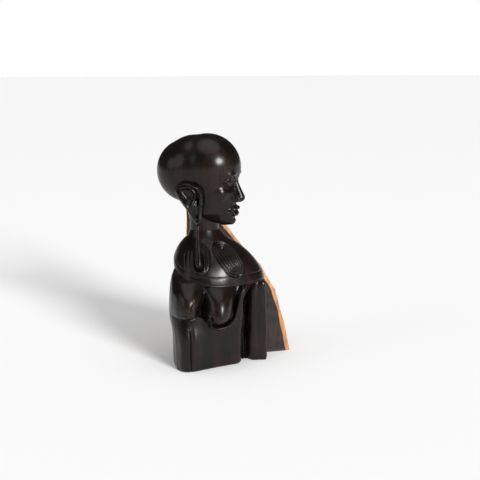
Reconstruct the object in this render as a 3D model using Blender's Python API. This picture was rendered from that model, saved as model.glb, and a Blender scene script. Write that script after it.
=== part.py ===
"""Carved blackwood bust of a woman: a shaved head turned over the left shoulder, stretched
ear lobes with long drops, a broad disc collar, arms at the sides, and the log's pale
sapwood left on the back.

Blender 4.5, metres, +Z up. The origin is on the flat base under the chest. The chest
looks along -Y, and +X is the figure's own left. The numbers below are millimetres, and
MM turns them into metres where a mesh is made.

The real carving is one billet. Its carved parts are separate solids here, and each
keeps a gap of FIT to the next.
"""

import math

import bmesh
import bpy
from mathutils import Matrix, Vector

MM = 0.001
FIT = 0.3

# Driving dimensions.
HEIGHT = 250.0
HEAD_TALL = 100.0
HEAD_TURN = math.radians(60)
NECK_RADIUS = 17.0
NECK_AXIS = (0.0, 13.0)
COLLAR_TOP = 140.0
COLLAR_EDGE_THICK = 4.0
COLLAR_MIDDLE_THICK = 13.0
SAPWOOD_THICK = 4.5
RIGHT_ARM_CREASE = -26.5

HEAD_CENTRE = Vector((-4.0, 14.0, HEIGHT - HEAD_TALL / 2))
HEAD_FORWARD = Vector((math.sin(HEAD_TURN), -math.cos(HEAD_TURN), 0.0))
HEAD_LEFT = Vector((math.cos(HEAD_TURN), math.sin(HEAD_TURN), 0.0))

# The flat front of the block that stays behind the figure leans back as it rises.
BLOCK_FRONT_LOW = 4.0
BLOCK_FRONT_LEAN = 22.0 / 150.0

# Height, right-hand edge (-X), left-hand edge (+X) and back of that block.
BLOCK_STATIONS = (
    (0.0, -33.0, 97.0, 47.0),
    (36.0, -33.5, 90.5, 48.5),
    (71.0, -33.0, 81.5, 48.0),
    (84.0, -32.5, 74.0, 47.5),
    (99.0, -31.0, 66.0, 47.0),
    (120.0, -26.0, 47.0, 46.5),
    (132.0, -18.0, 37.5, 46.0),
    (146.0, -17.0, 27.5, 45.5),
    (172.0, -17.0, 20.0, 45.0),
)

# Height, middle x, middle y, half width, half depth.
TORSO_STATIONS = (
    (0.0, 4.0, 2.0, 30.5, 33.0),
    (3.0, 4.0, 2.0, 32.5, 35.0),
    (25.0, 4.0, 2.0, 33.0, 36.0),
    (47.0, 3.0, 2.0, 33.0, 35.5),
    (60.0, 3.0, 2.0, 33.0, 32.0),
    (72.0, 3.0, 3.0, 34.0, 29.0),
    (92.0, 6.0, 4.0, 38.0, 28.0),
    (110.0, 8.0, 6.0, 38.0, 27.0),
    (140.0, 6.0, 10.0, 30.0, 20.0),
)
RIGHT_ARM_STATIONS = (
    (0.0, -30.5, -4.0, 8.0, 31.0),
    (3.0, -30.5, -5.0, 9.5, 32.5),
    (30.0, -30.5, -4.0, 10.5, 32.0),
    (47.0, -30.5, -3.0, 11.0, 31.0),
    (62.0, -30.5, 0.0, 11.0, 27.0),
    (85.0, -30.0, 4.0, 11.0, 24.0),
    (105.0, -28.0, 6.0, 10.0, 20.0),
    (125.0, -25.0, 9.0, 9.0, 16.0),
)
LEFT_ARM_STATIONS = (
    (0.0, 50.5, -0.5, 10.0, 17.0),
    (3.0, 50.5, -1.0, 11.6, 18.5),
    (40.0, 50.5, -1.0, 11.6, 18.5),
    (75.0, 50.0, 0.0, 11.4, 18.5),
    (98.0, 49.0, 4.0, 11.0, 17.0),
    (118.0, 46.0, 8.0, 10.0, 12.0),
)

# Middle and half sizes of each breast.
LEFT_BREAST = ((7.0, -21.0, 74.0), (16.5, 27.0, 19.0))
RIGHT_BREAST = ((-28.0, -23.0, 75.0), (16.0, 25.0, 18.0))

# Direction round the neck (0 is the chest, positive the figure's left), reach and height
# of the collar's edge.
COLLAR_EDGE = (
    (-180.0, 30.0, 122.0),
    (-135.0, 33.0, 121.0),
    (-90.0, 34.5, 111.0),
    (-60.0, 39.5, 104.0),
    (-35.0, 44.5, 100.0),
    (-16.0, 44.5, 94.5),
    (3.0, 45.0, 92.0),
    (28.0, 46.5, 92.5),
    (48.0, 50.0, 94.0),
    (70.0, 58.0, 93.0),
    (90.0, 62.0, 96.0),
    (120.0, 56.0, 104.0),
    (150.0, 40.0, 116.0),
    (180.0, 30.0, 122.0),
)

for leftover in list(bpy.data.objects):
    bpy.data.objects.remove(leftover)


def make_material(name, colour, roughness):
    material = bpy.data.materials.new(name)
    material.use_nodes = True
    shader = material.node_tree.nodes["Principled BSDF"]
    shader.inputs["Base Color"].default_value = (*colour, 1.0)
    shader.inputs["Roughness"].default_value = roughness
    shader.inputs["Metallic"].default_value = 0.0
    return material


HEARTWOOD = make_material("heartwood", (0.022, 0.014, 0.011), 0.28)
SAPWOOD = make_material("sapwood", (0.50, 0.21, 0.06), 0.45)


def between(stations, where):
    """The values of a table of stations at one place, straight between its rows."""
    if where <= stations[0][0]:
        return stations[0][1:]
    for low, high in zip(stations, stations[1:]):
        if where <= high[0]:
            share = (where - low[0]) / (high[0] - low[0])
            return tuple(a + (b - a) * share for a, b in zip(low[1:], high[1:]))
    return stations[-1][1:]


def add_object(name, mesh, material):
    obj = bpy.data.objects.new(name, mesh)
    bpy.context.scene.collection.objects.link(obj)
    if material:
        mesh.materials.append(material)
        mesh.shade_smooth()
        mesh.set_sharp_from_angle(angle=math.radians(40))
    else:
        obj.hide_render = True
        obj.display_type = "WIRE"
    return obj


def loft(name, rings, material=None):
    """A closed solid through rings of millimetre points, capped at both ends."""
    bm = bmesh.new()
    rows = [[bm.verts.new(Vector(p) * MM) for p in ring] for ring in rings]
    for lower, upper in zip(rows, rows[1:]):
        for i in range(len(lower)):
            j = (i + 1) % len(lower)
            bm.faces.new((lower[i], lower[j], upper[j], upper[i]))
    bm.faces.new(list(reversed(rows[0])))
    bm.faces.new(rows[-1])
    bmesh.ops.recalc_face_normals(bm, faces=bm.faces)
    mesh = bpy.data.meshes.new(name)
    bm.to_mesh(mesh)
    bm.free()
    return add_object(name, mesh, material)


def oval(station, points, power, turn, low_x=-1e9, high_x=1e9):
    """A ring round (height, x, y, half width, half depth), squarer as power rises."""
    height, x, y, wide, deep = station
    ring = []
    for i in range(points):
        angle = math.tau * i / points
        c, s = math.cos(angle), math.sin(angle)
        across = wide * math.copysign(abs(c) ** (2 / power), c)
        along = deep * math.copysign(abs(s) ** (2 / power), s)
        turned_x = x + across * math.cos(turn) - along * math.sin(turn)
        turned_y = y + across * math.sin(turn) + along * math.cos(turn)
        ring.append((min(max(turned_x, low_x), high_x), turned_y, height))
    return ring


def cut(obj, cutter):
    modifier = obj.modifiers.new("cut_by_" + cutter.name, "BOOLEAN")
    modifier.operation = "DIFFERENCE"
    modifier.solver = "EXACT"
    modifier.object = cutter


def unite(obj, other):
    modifier = obj.modifiers.new("with_" + other.name, "BOOLEAN")
    modifier.operation = "UNION"
    modifier.solver = "EXACT"
    modifier.object = other


def block_front(height):
    return BLOCK_FRONT_LOW + BLOCK_FRONT_LEAN * height


def block_arc(height, inset, points=16):
    """The log's own rounded side at one height, from the left-hand edge to the right."""
    right_edge, left_edge, back = between(BLOCK_STATIONS, height)
    middle = (right_edge + left_edge) / 2
    half = (left_edge - right_edge) / 2 - inset
    depth = back - block_front(height) - inset
    arc = []
    for i in range(points + 1):
        angle = math.pi * i / points
        arc.append((middle + half * math.cos(angle), block_front(height) + depth * math.sin(angle), height))
    return arc


def make_block():
    """The block left behind the figure: dark heartwood inside, pale sapwood outside."""
    heights = [station[0] for station in BLOCK_STATIONS]
    core = [block_arc(height, SAPWOOD_THICK + FIT) for height in heights]
    loft("back_block", core, HEARTWOOD)
    shell = []
    for height in heights:
        inner = block_arc(height, SAPWOOD_THICK)
        shell.append(block_arc(height, 0.0) + list(reversed(inner)))
    loft("sapwood_back", shell, SAPWOOD)
    space = [block_arc(height, -FIT) for height in heights]
    space = [[(x, y - (FIT if abs(y - block_front(z)) < FIT else 0.0), z) for x, y, z in ring] for ring in space]
    top = [(x, y, z + FIT) for x, y, z in space[-1]]
    return loft("block_space", space + [top])


def make_behind_plane():
    """All the room behind the block's front face, which the carved parts keep clear of."""
    low, high, reach = -10.0, 180.0, 140.0
    rings = []
    for height in (low, high):
        front = block_front(height) - FIT
        rings.append(((-reach, front, height), (reach, front, height), (reach, reach, height), (-reach, reach, height)))
    return loft("behind_plane", rings)


def collar_profile(share):
    """How far the collar has dropped, from 0 at the neck to 1 at its edge."""
    return 0.4 * share + 0.6 * (1 - math.sqrt(max(0.0, 1 - share * share)))


def collar_point(direction, share, lift):
    reach, edge_height = between(COLLAR_EDGE, direction)
    radius = NECK_RADIUS + FIT + (reach - NECK_RADIUS - FIT) * share
    angle = math.radians(direction)
    height = COLLAR_TOP - (COLLAR_TOP - edge_height) * collar_profile(share) + lift
    return (NECK_AXIS[0] + radius * math.sin(angle), NECK_AXIS[1] - radius * math.cos(angle), height)


COLLAR_DIRECTIONS = [-180 + 360 * i / 48 for i in range(48)]
COLLAR_SHARES = (0.0, 0.3, 0.55, 0.75, 0.9, 1.0)


def collar_thickness(share):
    return COLLAR_EDGE_THICK + (COLLAR_MIDDLE_THICK - COLLAR_EDGE_THICK) * (1 - share)


def make_collar(name, material, lift=0.0):
    """A dished ring round the neck: its rows run out over the top and back underneath."""
    rows = [[collar_point(d, s, lift) for d in COLLAR_DIRECTIONS] for s in COLLAR_SHARES]
    for share in reversed(COLLAR_SHARES):
        rows.append([collar_point(d, share, -collar_thickness(share)) for d in COLLAR_DIRECTIONS])
    bm = bmesh.new()
    made = [[bm.verts.new(Vector(p) * MM) for p in row] for row in rows]
    for here, there in zip(made, made[1:] + made[:1]):
        for i in range(len(here)):
            j = (i + 1) % len(here)
            bm.faces.new((here[i], here[j], there[j], there[i]))
    bmesh.ops.recalc_face_normals(bm, faces=bm.faces)
    mesh = bpy.data.meshes.new(name)
    bm.to_mesh(mesh)
    bm.free()
    return add_object(name, mesh, material)


def make_collar_space():
    """All the room above the collar's underside, wider than the shoulders."""
    rows = []
    for share in COLLAR_SHARES:
        lift = -collar_thickness(share) - 2 * FIT
        rows.append([collar_point(d, share, lift) for d in COLLAR_DIRECTIONS])
    edge = rows[-1]
    outer = [
        (NECK_AXIS[0] + (x - NECK_AXIS[0]) * 1.8, NECK_AXIS[1] + (y - NECK_AXIS[1]) * 1.8, z - 22.0)
        for x, y, z in edge
    ]
    rows.append(outer)
    rows.append([(x, y, HEIGHT) for x, y, z in outer])
    return loft("collar_space", rows)


def ball(centre, radii, material=None, name="ball", segments=32, turn=None):
    """An ellipsoid. With no material it is a helper that isn't part of the object."""
    bm = bmesh.new()
    bmesh.ops.create_uvsphere(bm, u_segments=segments, v_segments=segments // 2, radius=1.0)
    bm.transform(Matrix.Diagonal((*(r * MM for r in radii), 1.0)))
    if turn:
        bm.transform(turn.to_4x4())
    bm.transform(Matrix.Translation(Vector(centre) * MM))
    mesh = bpy.data.meshes.new(name)
    bm.to_mesh(mesh)
    bm.free()
    return add_object(name, mesh, material)


def joined(name, pieces, material):
    """Helpers' meshes gathered into one object, which a voxel remesh then makes one skin."""
    bm = bmesh.new()
    for piece in pieces:
        bm.from_mesh(piece.data)
        bpy.data.objects.remove(piece)
    mesh = bpy.data.meshes.new(name)
    bm.to_mesh(mesh)
    bm.free()
    return add_object(name, mesh, material)


def fuse(obj, voxel, smooth_steps, keep):
    """Voxel remesh, smoothing and thinning of overlapping shapes into one skin."""
    remesh = obj.modifiers.new("one_skin", "REMESH")
    remesh.mode = "VOXEL"
    remesh.voxel_size = voxel * MM
    remesh.use_smooth_shade = True
    smooth = obj.modifiers.new("soften", "SMOOTH")
    smooth.iterations = smooth_steps
    thin = obj.modifiers.new("thin_out", "DECIMATE")
    thin.ratio = keep


HEAD_TURNED = Matrix((HEAD_FORWARD, HEAD_LEFT, Vector((0, 0, 1)))).transposed()

# Forward, left and up of the middle, then the three half sizes.
HEAD_SHAPES = (
    ((8.5, 0.0, 14.0), (36.5, 33.0, 36.0)),
    ((-4.0, 0.0, 10.0), (37.0, 32.5, 34.5)),
    ((-15.0, 0.0, 9.0), (33.0, 30.0, 32.5)),
    ((14.0, 0.0, -14.0), (27.0, 26.5, 34.0)),
    ((30.0, 0.0, -38.0), (11.0, 12.5, 11.0)),
    ((41.0, 0.0, -11.0), (5.0, 5.0, 13.0)),
    ((43.0, 0.0, -20.0), (5.5, 7.5, 4.5)),
    ((36.0, 0.0, -31.0), (7.5, 11.0, 6.0)),
)


def from_head(forward, left, up):
    return HEAD_CENTRE + HEAD_FORWARD * forward + HEAD_LEFT * left + Vector((0, 0, up))


def make_head_form(name, material, grow=0.0):
    pieces = []
    for place, radii in HEAD_SHAPES:
        grown = tuple(r + grow for r in radii)
        pieces.append(ball(from_head(*place), grown, segments=32, turn=HEAD_TURNED))
    head = joined(name, pieces, material)
    fuse(head, 2.4, 4, 0.22)
    return head


def tube(path, radius, sides=10):
    """A round bar along millimetre points, closed at both ends."""
    rings = []
    for i, point in enumerate(path):
        before, after = Vector(path[max(i - 1, 0)]), Vector(path[min(i + 1, len(path) - 1)])
        along = (after - before).normalized()
        across = along.orthogonal().normalized()
        up = along.cross(across)
        ring = []
        for k in range(sides):
            angle = math.tau * k / sides
            ring.append(Vector(point) + (across * math.cos(angle) + up * math.sin(angle)) * radius)
        rings.append(ring)
    for i in range(1, len(rings)):
        shift = min(range(sides), key=lambda k: (rings[i][k] - rings[i - 1][0]).length)
        rings[i] = rings[i][shift:] + rings[i][:shift]
    return loft("tube", rings)


def make_ear(name, side, lobe_end, head_space):
    """An ear leaning back along the skull, and its lobe stretched down to the drop."""
    middle = from_head(-4.0, side * 33.0, -14.0)
    lean = Matrix.Rotation(math.radians(22), 3, "Y") @ Matrix.Rotation(side * math.radians(-14), 3, "Z")
    plate = ball(middle, (13.5, 3.2, 15.5), turn=HEAD_TURNED @ lean)
    root = from_head(-2.0, side * 31.5, -24.0)
    lobe = [root.lerp(Vector(lobe_end), step / 6) for step in range(7)]
    ear = joined(name, [plate, tube(lobe, 3.0)], HEARTWOOD)
    fuse(ear, 1.5, 2, 0.3)
    cut(ear, head_space)
    return ear


def make_drop(name, top, end, material):
    """A long ear drop: a thin shank that swells to a round end."""
    top, end = Vector(top), Vector(end)
    length = (end - top).length
    along = (end - top).normalized()
    across = along.cross(Vector((0, -1, 0))).normalized()
    out = along.cross(across)
    rings = []
    for share, radius in ((0.0, 0.6), (0.015, 1.5), (0.3, 1.9), (0.6, 2.7), (0.8, 3.4), (0.9, 3.5), (0.97, 2.4), (1.0, 0.8)):
        centre = top + along * (length * share)
        rings.append([
            centre + (across * math.cos(math.tau * k / 14) + out * math.sin(math.tau * k / 14)) * radius
            for k in range(14)
        ])
    return loft(name, rings, material)


def make_torso(behind, collar_space):
    rings = []
    for station in TORSO_STATIONS:
        turn = math.radians(11) if station[0] < 80 else math.radians(4)
        rings.append(oval(station, 40, 2.6, turn, low_x=RIGHT_ARM_CREASE, high_x=42.2))
    torso = loft("torso", rings, HEARTWOOD)
    for centre, radii in (LEFT_BREAST, RIGHT_BREAST):
        unite(torso, ball(centre, radii, name="breast", segments=24))
    cut(torso, behind)
    cut(torso, collar_space)


def make_arms(behind, collar_space):
    rings = [oval(s, 32, 2.5, math.radians(4), high_x=RIGHT_ARM_CREASE - FIT) for s in RIGHT_ARM_STATIONS]
    right = loft("right_arm", rings, HEARTWOOD)
    centre, radii = RIGHT_BREAST
    cut(right, ball(centre, [r + 2 * FIT for r in radii], name="breast_space", segments=24))
    rings = [oval(s, 32, 4.0, math.radians(14), low_x=42.5) for s in LEFT_ARM_STATIONS]
    left = loft("left_arm", rings, HEARTWOOD)
    for arm in (right, left):
        cut(arm, behind)
        cut(arm, collar_space)


def make_neck(behind):
    heights = (COLLAR_TOP - COLLAR_MIDDLE_THICK, 134.0, 142.0, 150.0, 160.0, 168.0)
    radii = (17.0, 17.0, 17.0, 16.4, 16.2, 16.0)
    x, y = NECK_AXIS
    neck = loft("neck", [oval((z, x, y, r, r), 36, 2.0, 0.0) for z, r in zip(heights, radii)], HEARTWOOD)
    cut(neck, behind)
    grown = [oval((z, x, y, r + FIT, r + FIT), 36, 2.0, 0.0) for z, r in zip(heights, radii)]
    grown[-1] = [(px, py, pz + FIT) for px, py, pz in grown[-1]]
    return loft("neck_space", grown)


def main():
    block_space = make_block()
    behind = make_behind_plane()
    collar_space = make_collar_space()
    make_torso(behind, collar_space)
    make_arms(behind, collar_space)
    collar = make_collar("collar", HEARTWOOD)
    cut(collar, behind)
    neck_space = make_neck(behind)
    head = make_head_form("head", HEARTWOOD)
    cut(head, neck_space)
    cut(head, block_space)
    head_space = make_head_form("head_space", None, grow=FIT)
    make_ear("right_ear", -1, (-15.5, -8.5, 148.0), head_space)
    left_ear = make_ear("left_ear", 1, (8.0, 49.5, 160.0), head_space)
    cut(left_ear, block_space)
    collar_top_space = make_collar("collar_top_space", None, lift=FIT)
    right_drop = make_drop("right_ear_drop", (-15.8, -11.0, 145.5), (-19.0, -29.0, 114.5), HEARTWOOD)
    cut(right_drop, collar_top_space)
    left_drop = make_drop("left_ear_drop", (8.3, 49.5, 157.0), (11.0, 50.0, 121.0), HEARTWOOD)
    cut(left_drop, block_space)


main()
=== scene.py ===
"""A woman's bust carved in blackwood from one split log, polished, with the log's pale
sapwood left along the edge and the back of the slab that stands behind her."""

import math

import bpy
import numpy as np
from mathutils import Matrix, Vector


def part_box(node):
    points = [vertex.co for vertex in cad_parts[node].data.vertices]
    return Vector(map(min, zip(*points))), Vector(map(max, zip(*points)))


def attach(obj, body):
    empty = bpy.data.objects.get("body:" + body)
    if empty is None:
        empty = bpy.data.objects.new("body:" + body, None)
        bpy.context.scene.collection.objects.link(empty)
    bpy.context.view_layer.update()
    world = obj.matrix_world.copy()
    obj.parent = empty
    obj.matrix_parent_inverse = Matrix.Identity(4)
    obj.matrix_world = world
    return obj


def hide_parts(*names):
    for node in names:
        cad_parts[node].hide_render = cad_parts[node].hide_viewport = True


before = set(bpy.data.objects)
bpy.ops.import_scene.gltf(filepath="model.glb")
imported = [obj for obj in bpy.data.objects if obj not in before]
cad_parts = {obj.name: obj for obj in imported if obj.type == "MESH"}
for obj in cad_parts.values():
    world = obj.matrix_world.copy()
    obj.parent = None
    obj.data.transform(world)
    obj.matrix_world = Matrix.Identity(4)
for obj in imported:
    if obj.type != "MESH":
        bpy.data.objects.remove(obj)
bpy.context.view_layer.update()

# ---------------------------------------------------------------------------------------
# The slab. The carver leaves the rear of the split log standing behind the figure. Its
# dark heartwood is faced flat with an adze, then scraped, and only lightly waxed.
# ---------------------------------------------------------------------------------------
mm = 0.001
_, slab_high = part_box("sapwood_back")
slab_top = slab_high.z / mm
slab_front_low = 4.0
slab_front_lean = 22.0 / 150.0
sapwood_thick = 4.4


def deselect():
    if bpy.context.mode != "OBJECT":
        bpy.ops.object.mode_set(mode="OBJECT")
    bpy.ops.object.select_all(action="DESELECT")


def only(piece):
    deselect()
    piece.select_set(True)
    bpy.context.view_layer.objects.active = piece


def get_points(piece):
    """The piece's points in millimetres."""
    flat = np.empty(len(piece.data.vertices) * 3, np.float32)
    piece.data.vertices.foreach_get("co", flat)
    return flat.reshape(-1, 3).astype(float) / mm


def set_points(piece, points):
    piece.data.vertices.foreach_set("co", (points * mm).astype(np.float32).ravel())
    piece.data.update()


def get_normals(piece):
    flat = np.empty(len(piece.data.vertices) * 3, np.float32)
    piece.data.vertices.foreach_get("normal", flat)
    return flat.reshape(-1, 3).astype(float)


def skin(name, rings, closed=True):
    """A skin through rings of points, each ring closed, with a cap at both ends."""
    rings = np.asarray(rings, float)
    count, around = rings.shape[:2]
    here = np.arange(count * around).reshape(count, around)
    nxt = np.roll(here, -1, axis=1)
    quads = np.stack([here[:-1], nxt[:-1], nxt[1:], here[1:]], axis=-1).reshape(-1, 4)
    faces = [tuple(quad) for quad in quads.tolist()]
    if closed:
        faces.append(tuple(here[0][::-1].tolist()))
        faces.append(tuple(here[-1].tolist()))
    mesh = bpy.data.meshes.new(name)
    mesh.from_pydata((rings.reshape(-1, 3) * mm).tolist(), [], faces)
    mesh.validate()
    piece = bpy.data.objects.new(name, mesh)
    bpy.context.scene.collection.objects.link(piece)
    only(piece)
    bpy.ops.object.mode_set(mode="EDIT")
    bpy.ops.mesh.select_all(action="SELECT")
    bpy.ops.mesh.normals_make_consistent(inside=False)
    bpy.ops.object.mode_set(mode="OBJECT")
    return piece


def smooth_shade(piece, angle=50):
    only(piece)
    bpy.ops.object.shade_smooth_by_angle(angle=math.radians(angle))


def ripple(points, size, seed):
    """Soft unevenness of a hand-worked face: a few crossed waves, from -1 to 1."""
    source = np.random.default_rng(seed)
    total = np.zeros(len(points))
    for octave in range(5):
        wave = source.normal(size=3)
        wave *= math.tau / (size / (1 + 0.7 * octave)) / np.linalg.norm(wave)
        total += np.sin(points @ wave + source.uniform(0, math.tau)) / (1 + 0.6 * octave)
    return total / 2.2


slab_heights = np.array([0.0, 36.0, 71.0, 84.0, 99.0, 120.0, 132.0, 146.0, 172.0])
slab_right_x = np.array([-33.0, -33.5, -33.0, -32.5, -31.0, -26.0, -18.0, -17.0, -17.0])
slab_left_x = np.array([97.0, 90.5, 81.5, 74.0, 66.0, 47.0, 37.5, 27.5, 20.0])
slab_back_y = np.array([47.0, 48.5, 48.0, 47.5, 47.0, 46.5, 46.0, 45.5, 45.0])


def slab_arc(height, inset, share):
    """Points of the log's own rounded side at one height, as share runs from 0 to 1."""
    right_x = np.interp(height, slab_heights, slab_right_x)
    left_x = np.interp(height, slab_heights, slab_left_x)
    back_y = np.interp(height, slab_heights, slab_back_y)
    front_y = slab_front_low + slab_front_lean * height
    angle = math.pi * share
    x = (right_x + left_x) / 2 + ((left_x - right_x) / 2 - inset) * np.cos(angle)
    y = front_y + (back_y - front_y - inset) * np.sin(angle)
    return np.stack([x, y, np.full_like(x, height)], axis=-1)


def sapwood_inset(height, share):
    """The growth ring where the pale wood starts wanders by about a millimetre."""
    wave = 0.55 * np.sin(height / 11.0 + 3 * share) + 0.4 * np.sin(height / 4.7 + 9 * share + 1)
    return sapwood_thick + wave


slab_rows = np.linspace(0.0, slab_top, 216)
slab_shares = np.linspace(0.0, 1.0, 150)
front_shares = np.linspace(0.0, 1.0, 90)[1:-1]
slab_rings = []
for height in slab_rows:
    outer = slab_arc(height, sapwood_inset(height, slab_shares) - 0.15, slab_shares)
    face = outer[-1] + (outer[0] - outer[-1]) * front_shares[:, None]
    slab_rings.append(np.concatenate([outer, face]))
heart_slab = skin("heartwood_slab", slab_rings)
points = get_points(heart_slab)
front_y = slab_front_low + slab_front_lean * points[:, 2]
on_face = np.clip(1 - (points[:, 1] - front_y) / 1.5, 0, 1) * (points[:, 2] > 1.0)
points[:, 1] += on_face * (0.22 * ripple(points, 40.0, 3) + 0.05 * ripple(points, 9.0, 4) + 0.25)
set_points(heart_slab, points)
smooth_shade(heart_slab, 45)


def new_material(name):
    material = bpy.data.materials.new(name)
    material.use_nodes = True
    return material, material.node_tree.nodes, material.node_tree.links


def noise(nodes, links, vector, scale, detail=4.0, rough=0.55, distortion=0.0):
    node = nodes.new("ShaderNodeTexNoise")
    node.inputs["Scale"].default_value = scale
    node.inputs["Detail"].default_value = detail
    node.inputs["Roughness"].default_value = rough
    node.inputs["Distortion"].default_value = distortion
    links.new(vector, node.inputs["Vector"])
    return node.outputs["Fac"]


def stretched(nodes, links, vector, stretch):
    node = nodes.new("ShaderNodeMapping")
    node.inputs["Scale"].default_value = stretch
    links.new(vector, node.inputs["Vector"])
    return node.outputs["Vector"]


def ramp(nodes, links, value, stops):
    node = nodes.new("ShaderNodeValToRGB")
    while len(node.color_ramp.elements) < len(stops):
        node.color_ramp.elements.new(0.5)
    for element, (place, colour) in zip(node.color_ramp.elements, stops):
        element.position = place
        element.color = (*colour, 1.0)
    links.new(value, node.inputs["Fac"])
    return node.outputs["Color"]


def mixed(nodes, links, share, first, second, way="MIX"):
    node = nodes.new("ShaderNodeMix")
    node.data_type = "RGBA"
    node.blend_type = way
    if isinstance(share, float):
        node.inputs["Factor"].default_value = share
    else:
        links.new(share, node.inputs["Factor"])
    links.new(first, node.inputs["A"])
    links.new(second, node.inputs["B"])
    return node.outputs["Result"]


def spread(nodes, links, value, low, high, to_low, to_high):
    node = nodes.new("ShaderNodeMapRange")
    node.inputs["From Min"].default_value = low
    node.inputs["From Max"].default_value = high
    node.inputs["To Min"].default_value = to_low
    node.inputs["To Max"].default_value = to_high
    links.new(value, node.inputs["Value"])
    return node.outputs["Result"]


def bumped(nodes, links, height, strength, distance, under=None):
    node = nodes.new("ShaderNodeBump")
    node.inputs["Strength"].default_value = strength
    node.inputs["Distance"].default_value = distance
    links.new(height, node.inputs["Height"])
    if under:
        links.new(under, node.inputs["Normal"])
    return node.outputs["Normal"]


def blackwood(name, polish, dust=0.0):
    """Blackwood: near black, with brown and red-brown streaks that run up the log."""
    material, nodes, links = new_material(name)
    shader = nodes["Principled BSDF"]
    place = nodes.new("ShaderNodeTexCoord").outputs["Object"]
    along_log = stretched(nodes, links, place, (1.0, 1.0, 0.09))
    long_grain = stretched(nodes, links, place, (1.0, 1.0, 0.03))
    figure = noise(nodes, links, along_log, 62.0, 5.0, 0.6, 0.8)
    streaks = noise(nodes, links, along_log, 260.0, 4.0, 0.6)
    blush = noise(nodes, links, place, 24.0, 3.0, 0.5, 0.6)
    pores = noise(nodes, links, long_grain, 1500.0, 2.0, 0.5)
    handling = noise(nodes, links, place, 75.0, 5.0, 0.6)
    body = ramp(nodes, links, figure, (
        (0.30, (0.0022, 0.0020, 0.0017)),
        (0.47, (0.0042, 0.0034, 0.0026)),
        (0.60, (0.0078, 0.0050, 0.0036)),
        (0.74, (0.0135, 0.0072, 0.0050)),
    ))
    red = ramp(nodes, links, streaks, (
        (0.35, (0.0080, 0.0046, 0.0034)),
        (0.62, (0.0330, 0.0105, 0.0070)),
    ))
    red_share = spread(nodes, links, blush, 0.52, 0.72, 0.0, 0.62)
    colour = mixed(nodes, links, red_share, body, red)
    pore_dark = ramp(nodes, links, pores, (
        (0.36, (0.45, 0.42, 0.40)),
        (0.50, (1.0, 1.0, 1.0)),
    ))
    colour = mixed(nodes, links, 1.0, colour, pore_dark, "MULTIPLY")
    # Painted shade: the collar's cut lines and the floor of the drop's channel are darkened in colour to
    # near black, standing in for the shade in those hollows.
    cut_shade = nodes.new("ShaderNodeAttribute")
    cut_shade.attribute_name = "painted_cut_shade"
    painted_groove_shade = ramp(nodes, links, streaks, (
        (0.30, (0.0014, 0.0012, 0.0010)),
        (0.75, (0.0024, 0.0018, 0.0015)),
    ))
    groove_shade_share = spread(nodes, links, cut_shade.outputs["Fac"], 0.1, 0.9, 0.0, 0.85)
    colour = mixed(nodes, links, groove_shade_share, colour, painted_groove_shade)
    if dust:
        pale = ramp(nodes, links, streaks, (
            (0.30, (0.030, 0.027, 0.026)),
            (0.75, (0.075, 0.066, 0.060)),
        ))
        dust_share = spread(nodes, links, handling, 0.35, 0.70, dust * 0.4, dust)
        colour = mixed(nodes, links, dust_share, colour, pale)
    links.new(colour, shader.inputs["Base Color"])
    gloss = spread(nodes, links, handling, 0.3, 0.75, polish, polish + 0.16)
    links.new(gloss, shader.inputs["Roughness"])
    shader.inputs["Specular IOR Level"].default_value = 0.2
    shader.inputs["IOR"].default_value = 1.5
    shader.inputs["Coat Weight"].default_value = 0.0 if dust else 0.14
    shader.inputs["Coat Roughness"].default_value = 0.16
    marks = noise(nodes, links, place, 120.0, 3.0, 0.5)
    uneven = bumped(nodes, links, marks, 0.16, 0.0008)
    streaky = bumped(nodes, links, streaks, 0.10, 0.0004, uneven)
    grain = bumped(nodes, links, pores, 0.16, 0.00012, streaky)
    links.new(grain, shader.inputs["Normal"])
    return material


polished_blackwood = blackwood("polished_blackwood", 0.24)
scraped_blackwood = blackwood("scraped_blackwood", 0.46, dust=0.2)
heart_slab.data.materials.append(scraped_blackwood)
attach(heart_slab, "root")
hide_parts("back_block")

# ---------------------------------------------------------------------------------------
# The sapwood. It is the log's own pale outer wood, under the bark that was peeled off. It
# stays on the slab's edges and back as a finish, smoothed and waxed to an orange brown.
# ---------------------------------------------------------------------------------------
sap_rings = []
for height in slab_rows:
    outer = slab_arc(height, 0.25 * np.sin(height / 6.0 + 7 * slab_shares), slab_shares)
    inner = slab_arc(height, sapwood_inset(height, slab_shares), slab_shares)
    sap_rings.append(np.concatenate([outer, inner[::-1]]))
sapwood_skin = skin("sapwood_skin", sap_rings)
points = get_points(sapwood_skin)
depth = points[:, 1] - (slab_front_low + slab_front_lean * points[:, 2])
bark_side = np.clip(depth / 6.0, 0, 1)
push = get_normals(sapwood_skin) * (bark_side * (0.45 * ripple(points, 34.0, 8) - 0.45))[:, None]
push[:, 2] = 0.0
set_points(sapwood_skin, points + push)
smooth_shade(sapwood_skin, 45)


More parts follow.
